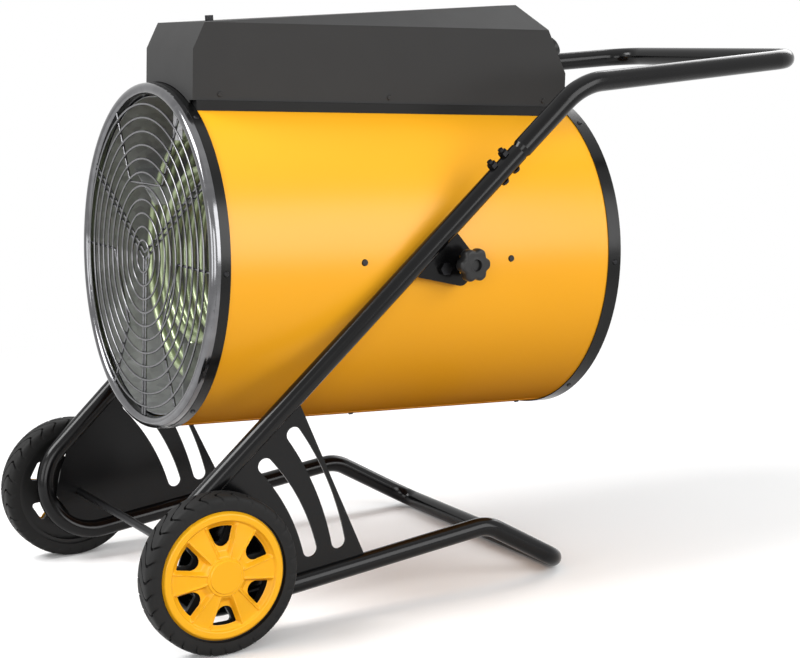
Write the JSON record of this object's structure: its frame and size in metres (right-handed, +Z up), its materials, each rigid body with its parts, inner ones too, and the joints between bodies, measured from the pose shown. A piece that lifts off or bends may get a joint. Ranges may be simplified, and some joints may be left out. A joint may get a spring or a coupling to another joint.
{
  "type": "forced air heater",
  "caption": "Electric drum heater on a wheeled tubular trolley, with a tilting drum, wire outlet grille, faceted control box and push handle.",
  "frame": {"origin": "on the ground, in the middle of the footprint", "axes": "+Z up, +X from the air outlet towards the push handle, -Y is the left side seen in the picture"},
  "size_m": [1.188, 0.637, 0.8544],
  "materials": {
    "frame_black": "gloss powder coat",
    "zinc_steel": "dark zinc",
    "tyre_rubber": "moulded",
    "core_plastic": "moulded",
    "hub_yellow": "moulded",
    "casing_yellow": "powder coat",
    "trim_black": "satin powder coat",
    "rim_bright": "polished",
    "liner_grey": "rolled",
    "tab_bright": "bright",
    "element_metal": "oxidised",
    "inlet_black": "coated wire",
    "fan_aluminium": "cast",
    "device_plastic": "moulded",
    "button_red": "moulded",
    "lamp_glass": "clear"
  },
  "bodies": {
    "trolley": {"side_tube_left": "frame_black", "side_tube_right": "frame_black", "foot_crossbar": "frame_black", "gusset_left": "frame_black", "gusset_right": "frame_black", "tilt_plate_left": "frame_black", "tilt_plate_right": "frame_black", "handle": "frame_black", "handle_bolts": "zinc_steel", "handle_nuts": "zinc_steel", "axle": "zinc_steel", "axle_spacers": "zinc_steel", "axle_caps": "zinc_steel"},
    "heater": {"outer_casing": "casing_yellow", "casing_screws": "zinc_steel", "casing_rivets": "zinc_steel", "side_doublers": "liner_grey", "front_trim_ring": "trim_black", "rear_trim_ring": "trim_black", "pivot_bolts": "zinc_steel", "spacer_bushes": "zinc_steel", "outlet_rim": "rim_bright", "outlet_grille": "rim_bright", "inlet_grille": "inlet_black", "inner_liner": "liner_grey", "liner_tabs": "tab_bright", "outer_coils": "element_metal", "inner_coils": "element_metal", "element_combs": "liner_grey", "element_end_plate": "tab_bright", "element_bracket": "tab_bright", "overheat_sensor": "tab_bright", "fan_motor": "fan_aluminium", "motor_mount": "liner_grey", "fan_shroud": "liner_grey", "control_base": "trim_black", "control_hood": "trim_black", "hood_screws": "zinc_steel", "hood_stud": "zinc_steel", "pilot_lamps": "lamp_glass", "switch_bodies": "device_plastic", "control_tray": "liner_grey", "contactors": "device_plastic", "terminal_block": "device_plastic", "cable_gland": "core_plastic"},
    "wheel_left": {"tyre_left": "tyre_rubber", "wheel_core_left": "core_plastic", "hub_cover_left": "hub_yellow"},
    "wheel_right": {"tyre_right": "tyre_rubber", "wheel_core_right": "core_plastic", "hub_cover_right": "hub_yellow"},
    "fan": {"fan_impeller": "fan_aluminium", "motor_shaft": "zinc_steel"},
    "clamp_knob_left": {"clamp_knob_left": "core_plastic"},
    "clamp_knob_right": {"clamp_knob_right": "core_plastic"},
    "heat_selector": {"heat_selector_knob": "core_plastic"},
    "thermostat": {"thermostat_knob": "core_plastic"},
    "reset_button": {"reset_button": "button_red"}
  },
  "joints": [
    {"name": "heater_tilt", "type": "hinge", "parent": "trolley", "child": "heater", "pos_m": [-0.102, 0, 0.487], "axis": [0, 1, 0], "range_deg": [-12, 24]},
    {"name": "wheel_left_spin", "type": "hinge", "parent": "trolley", "child": "wheel_left", "pos_m": [-0.483, 0, 0.111], "axis": [0, 1, 0], "continuous": true},
    {"name": "wheel_right_spin", "type": "hinge", "parent": "trolley", "child": "wheel_right", "pos_m": [-0.483, 0, 0.111], "axis": [0, 1, 0], "continuous": true},
    {"name": "fan_spin", "type": "hinge", "parent": "heater", "child": "fan", "pos_m": [-0.102, 0, 0.487], "axis": [0.998, 0, -0.0628], "continuous": true},
    {"name": "clamp_left_turn", "type": "hinge", "parent": "heater", "child": "clamp_knob_left", "pos_m": [-0.07255, -0.29, 0.49272], "axis": [0, 1, 0], "range_deg": [0, 360]},
    {"name": "clamp_right_turn", "type": "hinge", "parent": "heater", "child": "clamp_knob_right", "pos_m": [-0.07255, 0.29, 0.49272], "axis": [0, 1, 0], "range_deg": [0, 360]},
    {"name": "heat_selector_turn", "type": "hinge", "parent": "heater", "child": "heat_selector", "pos_m": [0.19031, -0.088, 0.78123], "axis": [-0.9135, 0, -0.4069], "range_deg": [0, 135]},
    {"name": "thermostat_turn", "type": "hinge", "parent": "heater", "child": "thermostat", "pos_m": [0.19031, 0.008, 0.78123], "axis": [-0.9135, 0, -0.4069], "range_deg": [0, 270]},
    {"name": "reset_press", "type": "slide", "parent": "heater", "child": "reset_button", "axis": [-0.9135, 0, -0.4069], "range_m": [0, 0.003], "stiffness_N_per_m": 300, "springref_m": -0.002}
  ]
}
